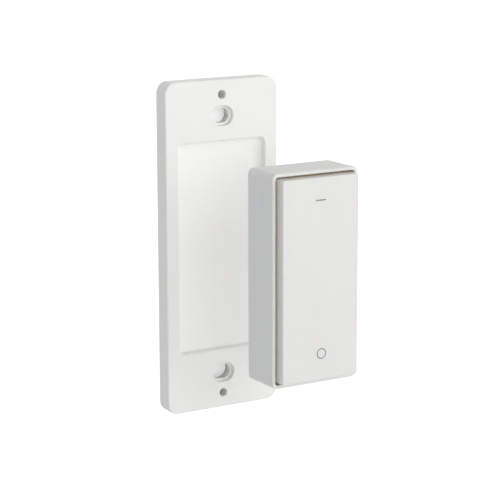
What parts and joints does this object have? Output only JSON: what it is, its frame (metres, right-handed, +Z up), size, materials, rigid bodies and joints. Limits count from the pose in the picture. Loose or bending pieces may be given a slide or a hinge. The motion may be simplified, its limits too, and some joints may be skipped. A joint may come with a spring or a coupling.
{
  "type": "wireless remote wall switch",
  "caption": "White moulded wall plate with a shallow dock, and a slim remote with one large rocker that magnets hold in the dock, shown pulled off the plate.",
  "frame": {"origin": "centre of the wall plate on its back plane, which lies against the wall", "axes": "+Z up the plate, front faces -Y, +Y into the wall, +X to the right seen from the front"},
  "size_m": [0.0406, 0.0627, 0.1064],
  "materials": {
    "white_plate": "fine satin moulded white",
    "white_housing": "fine satin moulded white",
    "white_rocker": "smooth satin moulded white",
    "white_cover": "fine satin moulded white",
    "keeper_steel": "zinc-plated sheet",
    "silicone": "translucent grey silicone",
    "board_laminate": "green solder mask",
    "cell_steel": "bright nickel-plated steel",
    "spring_steel": "bright spring sheet",
    "chip_black": "black moulded package",
    "crystal_lid": "bright lid",
    "antenna_ceramic": "white ceramic",
    "capacitor_body": "ochre moulded body",
    "passive_body": "brown ceramic",
    "magnet_nickel": "bright nickel plate",
    "screw_zinc": "zinc plate"
  },
  "bodies": {
    "plate": {"wall_plate": "white_plate", "keeper_upper": "keeper_steel", "keeper_lower": "keeper_steel"},
    "remote": {"remote_housing": "white_housing", "back_cover": "white_cover", "keypad_mat": "silicone", "circuit_board": "board_laminate", "coin_cell": "cell_steel", "battery_clip": "spring_steel", "battery_pad": "spring_steel", "radio_chip": "chip_black", "crystal": "crystal_lid", "chip_antenna": "antenna_ceramic", "bulk_capacitor": "capacitor_body", "chip_components": "passive_body", "magnet_upper": "magnet_nickel", "magnet_lower": "magnet_nickel", "board_screws": "screw_zinc", "cover_screws": "screw_zinc"},
    "rocker": {"rocker": "white_rocker"}
  },
  "joints": [
    {"name": "remote_dock", "type": "slide", "parent": "plate", "child": "remote", "axis": [0, 1, 0], "range_m": [0, 0.0418]},
    {"name": "rocker_tilt", "type": "hinge", "parent": "remote", "child": "rocker", "pos_m": [0, -0.0567, 0], "axis": [1, 0, 0], "range_deg": [-2.5, 2.5], "stiffness_Nm_per_rad": 0.15, "deforming": ["keypad_mat"]}
  ]
}
